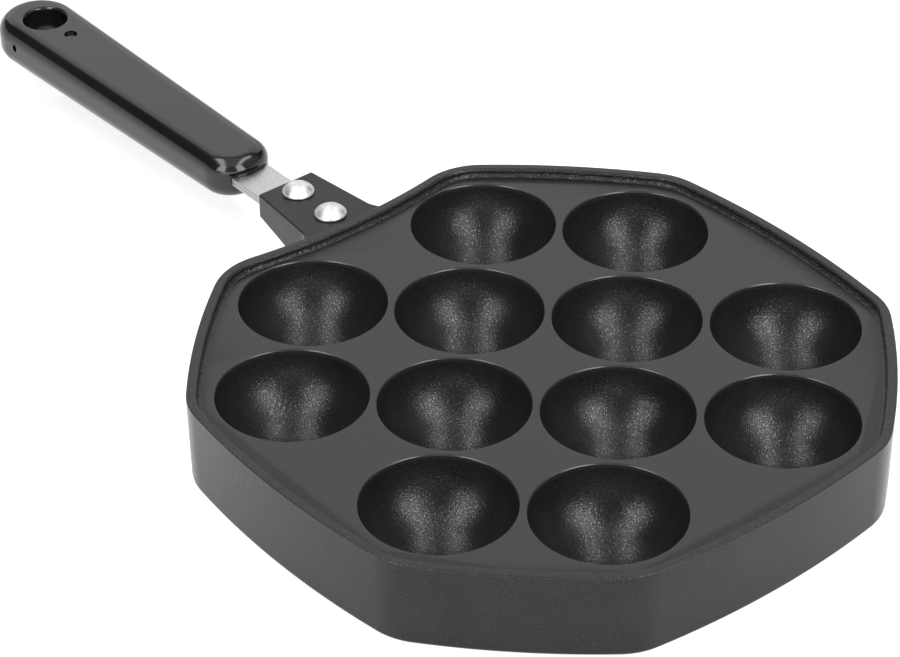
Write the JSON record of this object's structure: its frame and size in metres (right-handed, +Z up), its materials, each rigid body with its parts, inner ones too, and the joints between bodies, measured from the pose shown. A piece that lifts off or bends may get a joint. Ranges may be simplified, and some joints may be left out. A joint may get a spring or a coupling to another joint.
{
  "type": "takoyaki pan",
  "caption": "Cast pan with round-bottomed wells for turning batter balls, on a straight riveted handle with a hanging hole.",
  "frame": {"origin": "middle of the cooking plate's top face, between the four middle wells", "axes": "+X along the handle from the pan to the grip's rear end, +Z up out of the wells, +Y to the left of the handle; the grid of wells stands at 45 degrees to X"},
  "size_m": [0.3369, 0.1776, 0.0259],
  "materials": {
    "coated_casting": "matt black non-stick coating over a rough casting",
    "tang_steel": "satin",
    "rivet_aluminium": "bright",
    "grip_moulding": "gloss"
  },
  "bodies": {
    "root": {"pan_body": "coated_casting", "tang": "tang_steel", "rivet_outer": "rivet_aluminium", "rivet_inner": "rivet_aluminium", "grip": "grip_moulding"}
  },
  "joints": []
}
